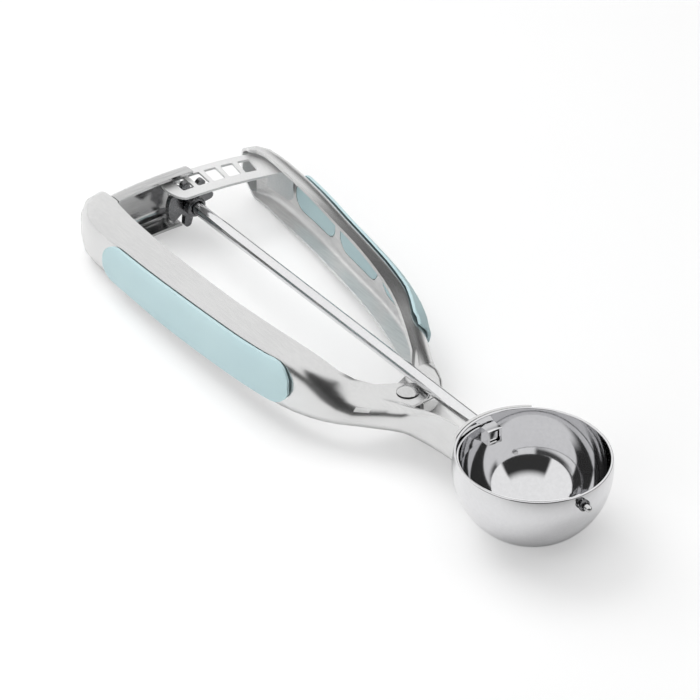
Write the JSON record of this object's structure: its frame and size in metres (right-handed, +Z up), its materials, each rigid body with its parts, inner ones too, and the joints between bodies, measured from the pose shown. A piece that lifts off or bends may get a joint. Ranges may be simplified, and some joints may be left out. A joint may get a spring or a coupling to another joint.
{
  "type": "cookie scoop",
  "caption": "Long-handled scoop with a round bowl: squeezing its two sprung handles turns a curved wiper blade inside the bowl through a rack and pinion.",
  "frame": {"origin": "centre of the bounding box's bottom, where the scoop lies on a table", "axes": "+X along the scoop towards the bowl's tip, +Y towards the moving handle, +Z up out of the bowl's mouth"},
  "size_m": [0.2148, 0.074, 0.028],
  "materials": {
    "satin_steel": "satin",
    "polished_steel": "polished",
    "spring_steel": "drawn wire",
    "aqua_rubber": "matt"
  },
  "bodies": {
    "scoop_frame": {"fixed_handle": "satin_steel", "bowl": "satin_steel", "rack_guide": "satin_steel", "fixed_grip_pad": "aqua_rubber", "pivot_rivet": "satin_steel", "pivot_washer": "satin_steel", "spring_spacer": "satin_steel", "torsion_spring": "spring_steel", "tip_collar": "satin_steel"},
    "squeeze_handle": {"moving_handle": "satin_steel", "rack": "satin_steel", "moving_grip_pad": "aqua_rubber"},
    "wiper_shaft": {"shaft_rod": "polished_steel", "star_pinion": "satin_steel", "pinion_collar": "satin_steel", "wiper_band": "polished_steel", "tip_pin": "polished_steel"}
  },
  "joints": [
    {"name": "handle_squeeze", "type": "hinge", "parent": "scoop_frame", "child": "squeeze_handle", "pos_m": [0.02617, -0.00183, 0.01951], "axis": [-0.0689, 0, 0.9976], "range_deg": [0, 9.22], "stiffness_Nm_per_rad": 3, "springref_deg": -17.19, "deforming": ["torsion_spring"]},
    {"name": "wiper_sweep", "type": "hinge", "parent": "scoop_frame", "child": "wiper_shaft", "pos_m": [-0.09434, 0.00297, 0.01119], "axis": [0.9976, 0, 0.0689], "range_deg": [0, 180]}
  ],
  "couplings": [
    {"joint": "wiper_sweep", "follows": "handle_squeeze", "ratio": 19.522}
  ]
}
